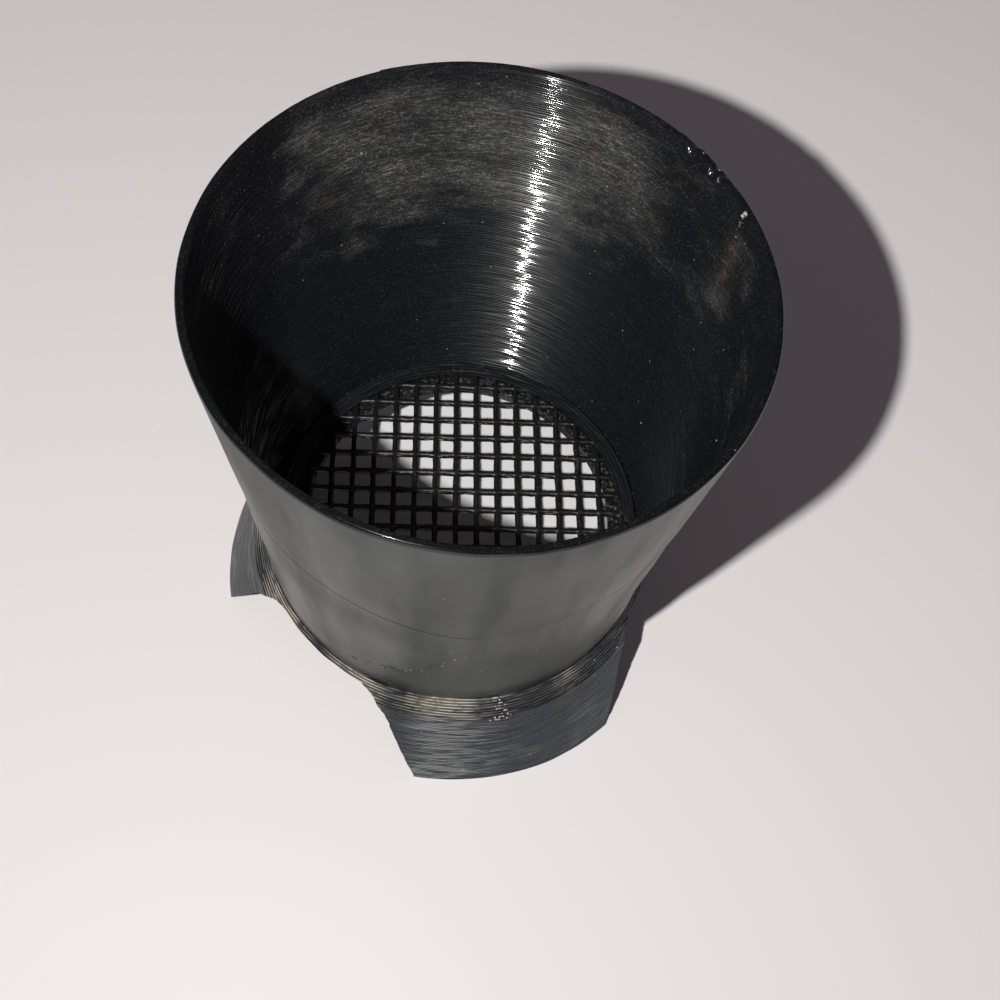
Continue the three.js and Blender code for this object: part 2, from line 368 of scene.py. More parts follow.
def cup_skin():
    """The cup: one closed outline turned round the axis, up the outside, over the two printed lines of
    the rim, down the inside in layers and back over the ledge, the drain's edge and the spigot. A layer's
    middle stands at the wall's true radius and falls back to its grooves by the square of the distance.
    Inside, every four rows share a small offset, and each layer has its own start of a cosine round the
    axis. Rim damage lowers the topmost rows."""
    angles = spread_angles(CUP_COLUMNS, RIM_DAMAGE_AT, RIM_DAMAGE_WIDTH, 6)
    half = LAYER / 2
    foot_steps = np.arange(4)
    head_steps = np.arange(8, 1, -1)
    between = np.linspace(SEAT_Z + LAYER * 4, RIM_Z - LAYER * 6, 22)
    out_z = np.concatenate([SEAT_Z + half * foot_steps, between, RIM_Z - half * head_steps])
    out_groove = np.concatenate([foot_steps == 2, np.zeros(len(between), bool), head_steps % 2 == 0])
    out_r = wall_radius(out_z) - 0.4 * WALL_GROOVE * out_groove
    rim_share = np.array([0, 0.25, 0.5, 0.75, 1])
    rim_r = RIM_RADIUS - RIM_INSET - rim_share * (CUP_WALL - 2 * RIM_INSET)
    rim_z = RIM_Z - np.array([RIM_ROUNDING, 0, RIM_GROOVE, 0, RIM_ROUNDING])
    rim_groove = rim_share == 0.5
    in_count = 4 * round((RIM_Z - LAYER - LEDGE_Z) / LAYER) + 1
    quarter = np.arange(in_count) % 4
    in_groove = quarter == 0
    in_z = np.linspace(RIM_Z - LAYER, LEDGE_Z, in_count)
    in_r = wall_radius(in_z) - CUP_WALL + WALL_GROOVE * (quarter / 2 - 1) ** 2
    ledge_r = np.linspace(in_r[-1], DRAIN_RADIUS, 15)[1:]
    ledge_groove = np.arange(1, 15) % 2 == 0
    ledge_z = LEDGE_Z - LEDGE_GROOVE * ledge_groove
    ledge_middle = 0.5 * (LEDGE_Z + SEAT_Z)
    spigot_middle = 0.5 * (SEAT_Z + SPIGOT_Z)
    under_r = np.array([DRAIN_RADIUS, DRAIN_RADIUS, SPIGOT_BORE, SPIGOT_BORE, SPIGOT_BORE])
    under_z = np.array([ledge_middle, SEAT_Z, SEAT_Z, spigot_middle, SPIGOT_Z])
    plug_r = np.array([SPIGOT_RADIUS, SPIGOT_RADIUS, SPIGOT_RADIUS])
    plug_z = np.array([SPIGOT_Z, spigot_middle, SEAT_Z])
    flat = np.zeros(len(under_r) + len(plug_r), bool)
    radius = np.concatenate([out_r, rim_r, in_r, ledge_r, under_r, plug_r])[:, None]
    height = np.concatenate([out_z, rim_z, in_z, ledge_z, under_z, plug_z])[:, None]
    grooved = np.concatenate([out_groove, rim_groove, in_groove, ledge_groove, flat])
    inside = np.zeros(len(radius))
    first = len(out_r) + len(rim_r)
    inside[first:first + in_count] = 1
    inside = inside[:, None]
    draw = np.random.default_rng(3)
    drift = np.repeat(draw.normal(0, LAYER_DRIFT, len(radius) // 4 + 1), 4)[:len(radius), None]
    sway = WALL_SWAY * ripple(angles, height, 5, 9, 11, 160)
    layer = np.cumsum(grooved)
    phase = draw.uniform(0, TURN, layer[-1] + 1)[layer][:, None]
    wobble = LAYER_WOBBLE * np.cos(WOBBLE_WAVES * angles + phase)
    radius = radius + inside * (drift + sway + wobble)
    near = np.exp(-((angles - RIM_DAMAGE_AT) / RIM_DAMAGE_WIDTH) ** 4)
    broken = near * np.clip(0.35 + ripple(angles, 0.0, 8, 9, 150, 1), 0, 1.6)
    wavy = RIM_WAVE * np.clip(ripple(angles, 0.0, 9, 12, 40, 1), 0, 2)
    top = ease(height, RIM_Z - RIM_DAMAGE_REACH, RIM_Z - half)
    height = height - top * (RIM_DAMAGE_DEPTH * broken + wavy)
    radius = radius - top * near * RIM_TATTER * ripple(angles, height, 10, 8, 80, 3000)
    body = turned(radius, height + 0 * angles, grooved, angles)
    body.soil = seam_smear(body.points)
    return joined([body, seam_lumps(draw), rim_lumps(draw)])


def seam_smear(points):
    """Soil on each point of the cup, as a smear down the wall's seam: a bell curve across it, which fades
    in below the rim and out again further down."""
    below = RIM_Z - points[:, 2]
    away = np.arctan2(points[:, 1], points[:, 0]) - WALL_SEAM_AT + SMEAR_LEAN * below / RIM_RADIUS
    along = ease(below, 1.5 * MM, 4 * MM) * (1 - ease(below, 6 * MM, 11 * MM))
    return SMEAR_SOIL * np.exp(-(away / SMEAR_WIDTH) ** 2) * along


def seam_lumps(draw):
    """The seam where each layer of the cup's wall starts: one lump to a layer for the topmost layers, each
    a little beside the last. The first few have sizes of their own, and the topmost are white as painted
    glints."""
    count = WALL_SEAM_LAYERS
    height = RIM_Z - LAYER * (0.9 + np.arange(count))
    angle = WALL_SEAM_AT - WALL_SEAM_LEAN * (RIM_Z - height) / RIM_RADIUS + draw.normal(0, 0.008, count)
    radius = wall_radius(height) - CUP_WALL + 0.01 * MM
    places = np.stack([radius * np.cos(angle), radius * np.sin(angle), height], -1)
    size = draw.choice([0.03, 0.05, 0.09, 0.15], count) * MM
    size[:len(WALL_SEAM_TOP_SIZES)] = np.array(WALL_SEAM_TOP_SIZES) * MM
    sizes = np.stack([size, size, np.minimum(size, 0.6 * LAYER)], -1)
    soil = draw.uniform(0.5, 1.0, count)
    # The topmost lumps are white, as painted glints
    soil[:WALL_SEAM_GLINTS] = WHITE_SOIL_AND_GLINT
    return lumps(places, sizes, soil)


def rim_lumps(draw):
    """Crumbs of plastic left on the damaged part of the rim, some of them pale."""
    count = RIM_CRUMBS
    angle = RIM_DAMAGE_AT + draw.normal(0, 0.6, count) * RIM_DAMAGE_WIDTH
    radius = RIM_RADIUS - draw.uniform(0.04, 0.3, count) * MM
    size = draw.uniform(0.03, 0.07, count) * MM
    height = RIM_Z - size - draw.uniform(0.0, 0.12, count) * MM
    places = np.stack([radius * np.cos(angle), radius * np.sin(angle), height], -1)
    pale = draw.choice([0.0, 0.6, WHITE_SOIL_AND_GLINT], count)
    return lumps(places, np.stack([size, size, size], -1), pale)


def skirt_radius(height):
    """Outside of the base: straight from the seat to the shoulder, and straight from there to the feet."""
    shoulder = SEAT_RADIUS + SHOULDER_SPREAD
    return np.interp(height, [0, SEAT_Z - SHOULDER_HEIGHT, SEAT_Z], [FOOT_RADIUS, shoulder, SEAT_RADIUS])


def arch_half_width(height):
    """Half an arch's width: straight leaning sides, and at the top corner the parabola that touches the
    side and the flat top at the same distance from where they would meet."""
    lean = (ARCH_FOOT_HALF - ARCH_TOP_HALF) / ARCH_Z
    drop = ARCH_CORNER / math.hypot(1, lean)
    share = np.linspace(0, 1, 25)
    side, middle, end = (1 - share) ** 2, 2 * share * (1 - share), share ** 2
    width = side * (ARCH_TOP_HALF + lean * drop) + middle * ARCH_TOP_HALF
    width = width + end * (ARCH_TOP_HALF - ARCH_CORNER)
    level = side * (ARCH_Z - drop) + (middle + end) * ARCH_Z
    return np.interp(height, [0, *level], [ARCH_FOOT_HALF, *width])


def base_skin():
    """The base: a closed slab from the outside of the skirt to its inside, in rows of constant height. A
    foot's columns share out the arc between two arches, which ends where the arch's half width is the
    radius times the sine of the angle from the arch's middle. Columns over an arch are kept only above
    it. Soil lies in bell-shaped patches round the axis."""
    rows = 2 * round(SEAT_Z / LAYER) + 1
    level = np.linspace(0, SEAT_Z, rows)
    grooved = np.arange(rows) % 2 == 0
    draw = np.random.default_rng(21)
    drift = np.repeat(draw.normal(0, SKIRT_DRIFT, rows // 2 + 1), 2)[:rows]
    outer = skirt_radius(level) - SKIRT_GROOVE * grooved + np.minimum(drift, 0)
    ring_z = SEAT_Z - RING_THICKNESS
    ring_row = round(ring_z / (LAYER / 2))
    inner_ends = [FOOT_RADIUS - SKIRT_WALL, skirt_radius(ring_z) - SKIRT_WALL]
    inner = np.interp(level, [0, ring_z], inner_ends) + SKIRT_GROOVE * grooved
    inner[ring_row + 1] = 0.5 * (inner_ends[1] + BASE_BORE)
    inner[ring_row + 2:] = BASE_BORE
    inner_z = level.copy()
    inner_z[ring_row:ring_row + 3] = ring_z
    share = np.linspace(0, 1, SKIRT_DEPTH_STEPS)[:, None]
    radius = outer * (1 - share) + inner * share
    height = level * (1 - share) + inner_z * share
    height[1:-1:2, -1] -= SEAT_GROOVE
    arch_row = round(ARCH_Z / (LAYER / 2))
    ragged = draw.normal(0, 1, (FOOT_COUNT, 2, rows // 2 + 1)).repeat(2, axis=2)[:, :, :rows]
    ragged = np.abs(ragged) * np.where(level > ARCH_RAGGED_ABOVE, ARCH_RAGGED_TOP, ARCH_RAGGED)
    ragged[:, :, arch_row:] = 0
    half = arch_half_width(level) + ragged
    quarter = math.pi / FOOT_COUNT
    spread = quarter - np.arcsin(half[:, :, None, :] / radius)
    along = np.linspace(-1, 1, FOOT_COLUMNS + 1)
    across = np.linspace(0, 1, 2 * ARCH_COLUMNS + 1)[1:-1]
    parts = []
    for foot in range(FOOT_COUNT):
        middle = FIRST_FOOT + 2 * quarter * foot
        left, right = spread[foot][:, :, :, None]
        following = spread[(foot + 1) % FOOT_COUNT][0][:, :, None]
        parts.append(middle + np.where(along < 0, along * left, along * right))
        parts.append((middle + right) * (1 - across) + (middle + 2 * quarter - following) * across)
    angle = np.concatenate(parts, axis=2)
    wander = SKIRT_WANDER * ripple(angle, height[:, :, None], 23, 12, 50, 9000)
    swell = SKIRT_SWELL * (ripple(angle, height[:, :, None], 24, 8, 12, 300) - 2)
    radial = radius[:, :, None] + wander + swell * (share < 0.5)[:, :, None]
    upright = np.broadcast_to(height[:, :, None], angle.shape)
    layers = np.stack([radial * np.cos(angle), radial * np.sin(angle), upright], -1)
    over_arch = np.tile(np.arange(FOOT_COLUMNS + 2 * ARCH_COLUMNS) >= FOOT_COLUMNS, FOOT_COUNT)
    keep = ~over_arch[None, :] | (np.arange(rows - 1) >= arch_row)[:, None]
    marks = np.where(grooved, np.arange(1, rows + 1), 0) + 0 * share.astype(int)
    marks = np.where(marks > 0, marks + rows * np.arange(SKIRT_DEPTH_STEPS)[:, None], 0)
    grooves = np.broadcast_to(marks[:, :, None], angle.shape)
    body = slab(layers, keep, grooves, closed=True)
    turn = np.degrees(np.arctan2(body.points[:, 1], body.points[:, 0]))
    body.soil = np.full(len(turn), RESIDUE_ELSEWHERE)
    for place, width, most in RESIDUE_PATCHES:
        body.soil = np.maximum(body.soil, most * np.exp(-((turn - place) / width) ** 2))
    return joined([body, skirt_seam(draw)])


def skirt_seam(draw):
    """The scar where the base's layers start, near the top of the skirt: short lumps fanned out sideways,
    black or as pale as salt."""
    count = SKIRT_SEAM_LUMPS
    height = SEAT_Z - 0.1 * MM - LAYER * draw.integers(0, 9, count)
    spread = 0.012 + 0.01 * (SEAT_Z - height) / SHOULDER_HEIGHT
    angle = SKIRT_SEAM_AT + draw.normal(0, 1, count) * spread
    radius = skirt_radius(height) - 0.03 * MM
    places = np.stack([radius * np.cos(angle), radius * np.sin(angle), height], -1)
    size = draw.uniform(0.035, 0.085, count) * MM
    sizes = np.stack([size * 1.3, size, 0.8 * size], -1)
    return lumps(places, sizes, draw.choice([0.0, 1.6, WHITE_SOIL_AND_GLINT], count))


def lattice_lines(shift, reach):
    """Grid lines across the bars of one direction: five over each bar and three over each hole. Gives
    their places, how far a bar's rounded top lies below its middle there, the way out of the bar at its
    two edges, and which of the intervals belong to a bar."""
    half = LATTICE_BAR / 2
    gap = LATTICE_PITCH - LATTICE_BAR
    over_bar = half * np.array([-1, -0.66, 0, 0.66, 1])
    over_hole = half + gap * np.array([0.25, 0.5, 0.75])
    offsets = np.concatenate([over_bar, over_hole])
    drops = np.array([0.11, 0.035, 0, 0.035, 0.11, 1, 1, 1]) * MM
    ways = np.array([-1, 0, 0, 0, 1, 0, 0, 0])
    solid = np.array([1, 1, 1, 1, 0, 0, 0, 0], bool)
    count = int(reach / LATTICE_PITCH) + 1
    numbers = np.arange(-count, count + 1)
    places = (shift + LATTICE_PITCH * numbers[:, None] + offsets).reshape(-1)
    size = len(numbers)
    return places, np.tile(drops, size), np.tile(ways, size), np.tile(solid, size)[:-1]


def bend(across, along, seed, waves, fine):
    """Smooth noise over the lattice: a sum of cosines of the two places, with radians to the metre drawn up
    to fine."""
    draw = np.random.default_rng(seed)
    total = 0.0
    for first, second, start in zip(*draw.uniform(-1, 1, (3, waves))):
        total = total + np.cos(fine * (first * across + second * along) + math.pi * start)
    return total * math.sqrt(2 / waves)


def floor_skin():
    """The lattice floor: bars as one slab whose cells are kept on either set of bars, with rounded tops and
    sides that swell, inside a ring turned from an outline with one bump to each printed line."""
    hole_radius = FLOOR_RADIUS - FLOOR_RIM_WIDTH
    reach = hole_radius + 0.5 * FLOOR_RIM_WIDTH
    x_line, x_drop, x_way, x_bar = lattice_lines(LATTICE_SHIFT_X, reach)
    y_line, y_drop, y_way, y_bar = lattice_lines(LATTICE_SHIFT_Y, reach)
    x, y = np.meshgrid(x_line, y_line)
    radius = np.hypot(x, y)
    middle = np.hypot(*np.meshgrid(0.5 * (x_line[1:] + x_line[:-1]), 0.5 * (y_line[1:] + y_line[:-1])))
    keep = (y_bar[:, None] | x_bar[None, :]) & (middle < reach)
    drop = np.minimum(x_drop[None, :], y_drop[:, None])
    sunk = BAR_SINK * ease(radius, hole_radius - 0.3 * MM, hole_radius)
    wave = BAR_WAVE * bend(x, y, 33, 10, 2200)
    top = FLOOR_TOP_Z - 0.03 * MM - drop - sunk + np.minimum(wave, 0.03 * MM)
    low = LEDGE_Z + 0.5 * drop + sunk
    x_bent = x + BAR_BEND_X * bend(x, y, 31, 14, 5200)
    y_bent = y + BAR_BEND_Y * bend(x, y, 32, 14, 7000)
    layers = []
    for share, push in ((0, 0), (0.3, BAR_SWELL), (0.7, BAR_SWELL), (1, 0)):
        across = x_bent + push * x_way[None, :]
        along = y_bent + push * y_way[:, None]
        layers.append(np.stack([across, along, top * (1 - share) + low * share], -1))
    bars = slab(np.stack(layers), keep)
    return joined([bars, floor_rim(hole_radius), root_threads()])


def floor_rim(hole_radius):
    """The lattice floor's rim: a closed outline of three layers outside, four printed lines on top and flat
    sides inside and below."""
    angles = np.linspace(0, TURN, 260, endpoint=False)
    side = np.arange(7)
    side_r = FLOOR_RADIUS - 0.04 * MM * (side % 2 == 0)
    side_z = np.linspace(LEDGE_Z, FLOOR_TOP_Z - FLOOR_RIM_GROOVE, 7)
    line = np.arange(1, 9)
    top_r = FLOOR_RADIUS - FLOOR_RIM_WIDTH * line / 8
    top_z = FLOOR_TOP_Z - FLOOR_RIM_GROOVE * (line % 2 == 0)
    down_r = np.array([hole_radius - 0.02 * MM, hole_radius, hole_radius])
    down_z = np.array([FLOOR_TOP_Z - 0.3 * MM, LEDGE_Z + 0.02 * MM, LEDGE_Z])
    radius = np.concatenate([side_r, top_r, down_r])[:, None]
    height = np.concatenate([side_z, top_z, down_z])[:, None]
    grooved = np.concatenate([side % 2 == 0, line % 2 == 0, np.zeros(3, bool)])
    on_top = np.zeros((len(radius), 1))
    on_top[len(side_r):len(side_r) + len(top_r) - 1] = 1
    drift = FLOOR_RIM_DRIFT * ripple(angles, radius * 400, 41, 10, 30, 12)
    radius = radius + on_top * drift
    height = height - on_top * FLOOR_RIM_DRIFT * np.clip(ripple(angles, radius, 42, 10, 40, 9000), 0, 2)
    return turned(radius, height + 0 * angles, grooved, angles)


def root_threads():
    """Dried root threads along the front edges of the bars that run left to right: each goes along +X for
    up to two millimetres and wavers up and down and to and fro."""
    draw = np.random.default_rng(51)
    row = draw.integers(-6, 7, ROOT_COUNT)
    front = LATTICE_SHIFT_Y + LATTICE_PITCH * row - 0.5 * LATTICE_BAR
    room = np.sqrt(np.maximum(ROOT_REACH ** 2 - front ** 2, 0))
    start = draw.uniform(-1, 0.85, ROOT_COUNT) * room
    length = draw.uniform(0.6, 1.9, ROOT_COUNT) * MM
    share = np.linspace(0, 1, ROOT_STEPS)
    phase = draw.uniform(0, TURN, (2, ROOT_COUNT, 1))
    pace = draw.uniform(5, 13, (2, ROOT_COUNT, 1))
    x = start[:, None] + length[:, None] * share
    y = front[:, None] - 0.02 * MM + ROOT_WAVER * np.sin(phase[0] + pace[0] * share)
    depth = draw.uniform(0.12, 0.3, (ROOT_COUNT, 1)) * MM
    z = FLOOR_TOP_Z - depth + ROOT_WAVER * np.sin(phase[1] + pace[1] * share)
    return threads(np.stack([x, y, z], -1), ROOT_THICKNESS, 1.0)


def on_wall(angle, up, off):
    """Points on the outside of the cup: up along the slanting wall from its foot, and off it at right
    angles."""
    radius = CUP_FOOT_RADIUS + up * WALL_LEAN + off * WALL_RISE
    height = SEAT_Z + up * WALL_RISE - off * WALL_LEAN
    return np.stack([radius * np.cos(angle), radius * np.sin(angle), height], -1)


def tape_waves(angle, up):
    """How far the tape lies below its full height for its own unevenness: broad upright waves and dents."""
    broad = TAPE_WAVE * ripple(angle, up, 61, 10, 26, 60)
    fine = TAPE_DENT * ripple(angle, up, 62, 16, 90, 900)
    return np.clip(broad + fine, -TAPE_WAVE_LIMIT, TAPE_WAVE_LIMIT) - TAPE_WAVE_LIMIT


def upper_thickness(up):
    """The upper band's thickness under the lower band: a twentieth at its foot, and full where the
    thinning ends."""
    return TAPE_THICKNESS * (0.05 + 0.95 * ease(up, UPPER_FOOT, UPPER_FOOT + EDGE_THINNING))


def edge_rows():
    """Shares of a band's width where its rows lie: close together near both edges."""
    near = np.array([0, 0.002, 0.005, 0.009])
    foot = np.linspace(0.014, 0.14, 24, endpoint=False)
    middle = np.linspace(0.14, 0.97, 62, endpoint=False)
    return np.concatenate([near, foot, middle, np.linspace(0.97, 0.99, 4, endpoint=False), 1 - near[::-1]])


def strip_skin(angle, low, high, lift, thinned):
    """A strip of tape as a closed slab: rows share out the width between its low and high edges, its outer
    face lies one thickness off its inner face, less where the tape is thinned, and lift gives how far it is
    pushed off the wall."""
    share = edge_rows()[:, None]
    up = low * (1 - share) + high * share
    turn = angle + 0 * up
    off = TAPE_GLUE + lift(turn, up) + tape_waves(turn, up)
    thick = TAPE_THICKNESS * (1 - thinned(turn, up))
    layers = np.stack([on_wall(turn, up, off + thick), on_wall(turn, up, off)])
    return slab(layers, np.ones((len(share) - 1, len(angle) - 1), bool))


def upper_tape_skin():
    """The upper band: a little over one turn, with its end lapped over its start behind the pot. Its start
    thickens and its end thins over the same angle, so that the lap stands no higher than the rest."""
    angle = np.linspace(UPPER_START, UPPER_END, 240)
    top = UPPER_FOOT + TAPE_WIDTH

    def lift(turn, up):
        """Off the wall by the start's own thickness where the end lies over it."""
        return TAPE_THICKNESS * ease(turn - UPPER_START, TURN, TURN + UPPER_LAP)

    def thinned(turn, up):
        """Pressed flat towards its foot, which the lower band covers, and round at its upper edge."""
        along = ease(turn - UPPER_START, 0, UPPER_LAP) - ease(turn - UPPER_START, TURN, TURN + UPPER_LAP)
        foot = upper_thickness(up) / TAPE_THICKNESS
        edge = np.sqrt(1 - 0.98 * np.clip((up - top) / TOP_ROUNDING + 1, 0, 1) ** 2)
        return 1 - np.maximum(along, 0.03) * foot * edge

    low = np.full(len(angle), UPPER_FOOT)
    return strip_skin(angle, low, low + TAPE_WIDTH, lift, thinned)


def lower_edges(angle):
    """Lower and upper edge of the lower band along its length: level for most of the first turn, then a
    slow climb over its own start, and a torn corner at the end. Its upper edge dips at the front."""
    climb = LOWER_CLIMB * ease(angle, math.radians(100), math.radians(150))
    climb = climb + LAP_CLIMB * ease(angle, math.radians(222), math.radians(252))
    torn = np.interp(np.degrees(angle), [256, 262, 268.5, 271.5], [0, 3.2, 7.8, 8.4]) * MM
    from_front = (angle + math.radians(90) + math.pi) % TURN - math.pi
    dip = FRONT_DIP * np.exp(-(from_front / FRONT_DIP_WIDTH) ** 2)
    low = TAPE_FOOT_MARGIN - LOWER_SLIP + climb + torn
    high = TAPE_FOOT_MARGIN + TAPE_WIDTH - dip
    return low, high


def lower_tape_skin():
    """The lower band: a strip wound about a turn and a third, over the foot of the upper band and over its
    own start. Its foot flares out by the square of the height below the flare's top, with a crease near
    the seat, and it has an upright fold, and bubbles and a round blister near its torn end. White grains on
    every other bubble are painted glints, and grains of white dust lie here and there on the front."""
    right = math.radians(-48)
    left = math.radians(205)
    steps = np.concatenate([
        np.linspace(LOWER_START, right, 130, endpoint=False),
        np.linspace(right, left, 160, endpoint=False),
        np.linspace(left, LOWER_END, 140)])
    draw = np.random.default_rng(71)
    before_tear = draw.uniform(234, 262, BUBBLE_COUNT - TEAR_BUBBLES)
    beside_tear = draw.uniform(262, 270, TEAR_BUBBLES)
    bubble_turn = np.radians(np.concatenate([before_tear, beside_tear]))
    bubble_up = np.interp(np.degrees(bubble_turn), [234, 250, 262, 270], [2.6, 5.6, 8.3, 13.2]) * MM
    bubble_up = bubble_up + draw.normal(0, 0.35, BUBBLE_COUNT) * MM
    bubble_size = draw.uniform(0.14, 0.32, BUBBLE_COUNT) * MM
    bubble_rise = draw.uniform(0.05, 0.1, BUBBLE_COUNT) * MM

    def lift(turn, up):
        """Steps over the upper band and over the first turn, the flared foot and its crease, the upright
        fold, and the bubbles and the blister on the lapped end."""
        below = ease(up, UPPER_FOOT - LAP_LEAD, UPPER_FOOT)
        over_upper = below * (upper_thickness(up) + LAP_GAP)
        lapped = ease(turn - LOWER_START, TURN - 0.05, TURN)
        first = TAPE_THICKNESS * (1 - thinned(turn - TURN, up)) + LAP_GAP
        total = over_upper + lapped * first
        total = total + LOWER_FLARE * np.clip(1 - up / LOWER_FLARE_HEIGHT, 0, 1) ** 2
        wander = CREASE_WANDER * ripple(turn, 0.0, 72, 6, 14, 1)
        on_left = 1 - ease(turn, *CREASE_FADE)
        crease = np.exp(-((up - CREASE_UP - wander) / CREASE_WIDTH) ** 2)
        total = total - CREASE_DEPTH * crease * on_left
        fold = np.exp(-((turn - FOLD_AT) * CUP_FOOT_RADIUS / FOLD_WIDTH) ** 2)
        total = total - FOLD_DEPTH * fold * ease(up, 1.5 * MM, 5 * MM) * (1 - ease(up, 13 * MM, 17 * MM))
        for place, height, size, rise in zip(bubble_turn, bubble_up, bubble_size, bubble_rise):
            away = ((turn - place) * CUP_FOOT_RADIUS) ** 2 + (up - height) ** 2
            total = total + rise * np.exp(-away / size ** 2)
        around = np.hypot((turn - BLISTER_AT) * CUP_FOOT_RADIUS / 0.6, (up - BLISTER_UP) / 1.1)
        return total + BLISTER_RISE * np.exp(-((around - BLISTER_RADIUS) / BLISTER_WIDTH) ** 2)

    def thinned(turn, up):
        """Pressed thin at its edges."""
        low, high = lower_edges(turn)
        top = 1 - ease(high - up, 0, EDGE_THINNING)
        return np.maximum(0.97 * top, 0.7 * (1 - ease(up - low, 0, FOOT_THINNING)))

    low, high = lower_edges(steps)
    band = strip_skin(steps, low, high, lift, thinned)
    loose_turn = np.radians(draw.uniform(-150, -40, GRAIN_COUNT))
    loose_turn = np.where(loose_turn < LOWER_END - TURN, loose_turn + TURN, loose_turn)
    # Grains on every other bubble are white as painted glints; the loose ones are white dust
    turn = np.concatenate([bubble_turn[::2], loose_turn])
    up = np.concatenate([bubble_up[::2], draw.uniform(2.5, 16, GRAIN_COUNT) * MM])
    thick = TAPE_THICKNESS * (1 - thinned(turn, up))
    places = on_wall(turn, up, TAPE_GLUE + lift(turn, up) + tape_waves(turn, up) + thick)
    size = draw.uniform(0.025, 0.05, len(turn)) * MM
    return joined([band, lumps(places, np.stack([size, size, size], -1), 1.0)])


class Reading:
    """A socket of a material's tree that takes part in Python arithmetic: each operator adds a Math
    node."""

    def __init__(self, finish, socket):
        self.finish = finish
        self.socket = socket

    def worked(self, operation, first, second):
        """A Math node of two values or readings."""
        return self.finish.node("ShaderNodeMath", {"operation": operation}, {0: first, 1: second})

    def __add__(self, other):
        return self.worked("ADD", self, other)

    def __radd__(self, other):
        return self.worked("ADD", other, self)

    def __sub__(self, other):
        return self.worked("SUBTRACT", self, other)

    def __rsub__(self, other):
        return self.worked("SUBTRACT", other, self)

    def __mul__(self, other):
        return self.worked("MULTIPLY", self, other)

    def __rmul__(self, other):
        return self.worked("MULTIPLY", other, self)


class Finish:
    """One material and its nodes. Places come from Object coordinates, in metres."""

    def __init__(self, name):
        self.material = bpy.data.materials.new(name)
        self.material.use_nodes = True
        self.tree = self.material.node_tree
        self.tree.nodes.clear()
        self.place = self.node("ShaderNodeTexCoord", output="Object")
        self.height = self.along("Z")

    def node(self, kind, settings=None, sockets=None, output=0):
        """Any node: its settings first, then a value or a link for each socket. Gives back one output."""
        made = self.tree.nodes.new(kind)
        for name, value in (settings or {}).items():
            setattr(made, name, value)
        for name, value in (sockets or {}).items():
            if isinstance(value, Reading):
                self.tree.links.new(value.socket, made.inputs[name])
            else:
                made.inputs[name].default_value = value
        return Reading(self, made.outputs[output]) if made.outputs else None

    def along(self, axis):
        """The place along one axis, in metres."""
        return self.node("ShaderNodeSeparateXYZ", None, {0: self.place}, axis)

    def attribute(self, name):
        """A value that the mesh holds at each point."""
        return self.node("ShaderNodeAttribute", {"attribute_name": name}, None, "Fac")

    def ramp(self, value, low, high):
        """0 below low and 1 above high, eased between them."""
        ends = {"Value": value, "From Min": low, "From Max": high}
        return self.node("ShaderNodeMapRange", {"interpolation_type": "SMOOTHSTEP"}, ends)

    def noise(self, across, up, detail=3.0):
        """Noise with about this many grains to the metre, across the pot and up it."""
        factors = {0: self.place, 1: (across, across, up)}
        grains = self.node("ShaderNodeVectorMath", {"operation": "MULTIPLY"}, factors)
        return self.node("ShaderNodeTexNoise", None, {"Vector": grains, "Scale": 1.0, "Detail": detail})

    def specks(self, cells, size, share):
        """Small dots in this share of the cells of a random pattern with so many cells to the metre; size
        is a dot's radius in cells."""
        pattern = {"Vector": self.place, "Scale": cells}
        away = self.node("ShaderNodeTexVoronoi", None, pattern, "Distance")
        tint = self.node("ShaderNodeTexVoronoi", None, pattern, "Color")
        lot = self.node("ShaderNodeSeparateColor", None, {0: tint})
        return (1 - self.ramp(away, 0.5 * size, size)) * self.ramp(lot, 0.99 - share, 1.01 - share)

    def mix(self, share, first, second):
        """One colour going over into another."""
        return self.node("ShaderNodeMix", {"data_type": "RGBA"}, {0: share, 6: first, 7: second}, 2)

    def bump(self, height, depth):
        """A fine relief of this depth in metres."""
        return self.node("ShaderNodeBump", None, {"Height": height, "Distance": depth})

    def surface(self, colour, roughness, normal, shine=0.5, **others):
        """The shader itself; shine is its specular level, and others are for more of its sockets, by their
        names in small letters."""
        sockets = {"Base Color": colour, "Roughness": roughness, "Normal": normal}
        sockets["Specular IOR Level"] = shine
        sockets.update({name.replace("_", " ").title(): value for name, value in others.items()})
        shader = self.node("ShaderNodeBsdfPrincipled", None, sockets)
        self.node("ShaderNodeOutputMaterial", None, {"Surface": shader})
        return self.material


# Colours of the finishes, some of which also paint in glints and sheen, and the tints of two reflections
BLACK = (0.0062, 0.0076, 0.009, 1)
BASE_BLACK = (0.0085, 0.0112, 0.0145, 1)
# Pale dust; inside the cup it also paints in a broad sheen of the key lamp
DUST_AND_SHEEN = (0.165, 0.165, 0.158, 1)
SOIL = (0.15, 0.1, 0.055, 1)
CRUMB = (0.3, 0.24, 0.17, 1)
# Pale specks, which also serve as painted glints
SPECK_AND_GLINT = (0.5, 0.49, 0.46, 1)
# Pale scuffs, which on the skirt also paint in glints of the layers
SCUFF_AND_GLINT = (0.43, 0.43, 0.415, 1)
RESIDUE = (0.3, 0.235, 0.14, 1)
# Pale salt, which on the base's crests also paints in their highlight
SALT_AND_GLINT = (0.66, 0.6, 0.5, 1)
ROOT = (0.3, 0.25, 0.18, 1)
VINYL = (0.0118, 0.0136, 0.0126, 1)
# Grey film, which on the tape also paints in its sheen
FILM_AND_SHEEN = (0.153, 0.164, 0.149, 1)
BLUISH = (0.8, 0.93, 1.0, 1)
GREENISH = (0.78, 1.0, 0.86, 1)


